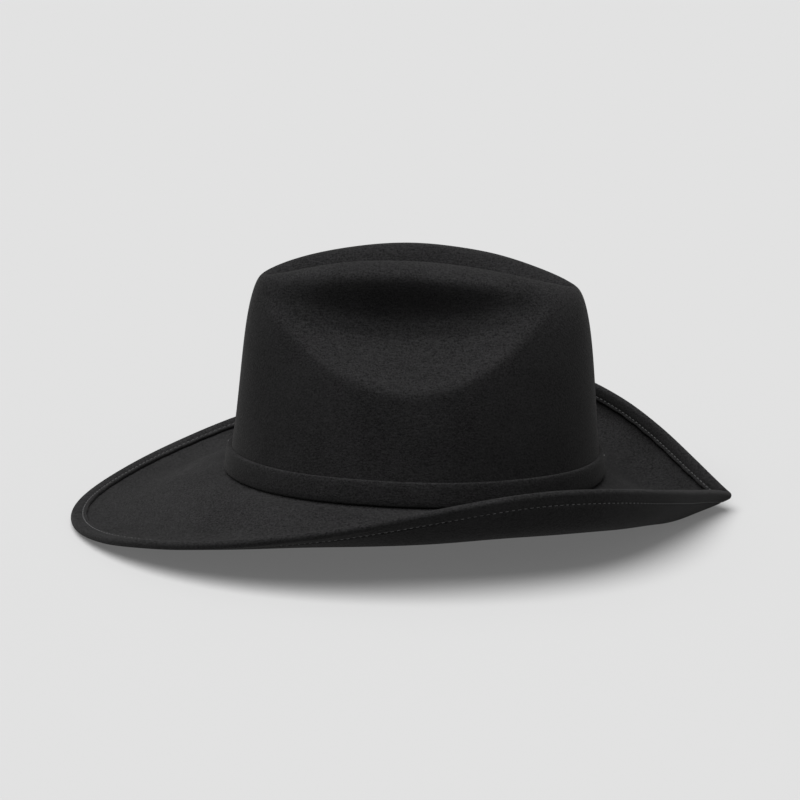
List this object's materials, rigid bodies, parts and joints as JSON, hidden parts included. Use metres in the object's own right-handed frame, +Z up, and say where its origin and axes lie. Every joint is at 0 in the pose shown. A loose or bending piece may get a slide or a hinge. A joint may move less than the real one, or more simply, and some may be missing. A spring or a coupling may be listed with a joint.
{
  "type": "cowboy hat",
  "caption": "Black wool-felt cowboy hat with a creased crown, rolled brim with a stitched overwelt, a self-felt band and a leather sweatband.",
  "frame": {"origin": "on the table that the hat stands on, halfway between the front and back tips of the brim, on the middle plane", "axes": "+X to the front of the hat, +Y to the wearer's left, +Z up"},
  "size_m": [0.3702, 0.307, 0.15],
  "materials": {
    "black_felt": "matte wool felt with a short nap",
    "black_thread": "spun thread",
    "sweatband_leather": "satin",
    "reed_cloth": "woven tape over a plastic reed",
    "bow_ribbon": "satin ribbon",
    "label_cloth": "plain woven cloth, blank"
  },
  "bodies": {
    "root": {"felt_crown": "black_felt", "felt_brim": "black_felt", "brim_overwelt": "black_felt", "overwelt_stitching": "black_thread", "hat_band": "black_felt", "hat_band_lap": "black_felt", "hat_band_tack_stitches": "black_thread", "sweatband": "sweatband_leather", "sweatband_reed": "reed_cloth", "sweatband_stitching": "black_thread", "sweatband_seam": "black_thread", "sweatband_bow": "bow_ribbon", "size_label": "label_cloth"}
  },
  "joints": []
}
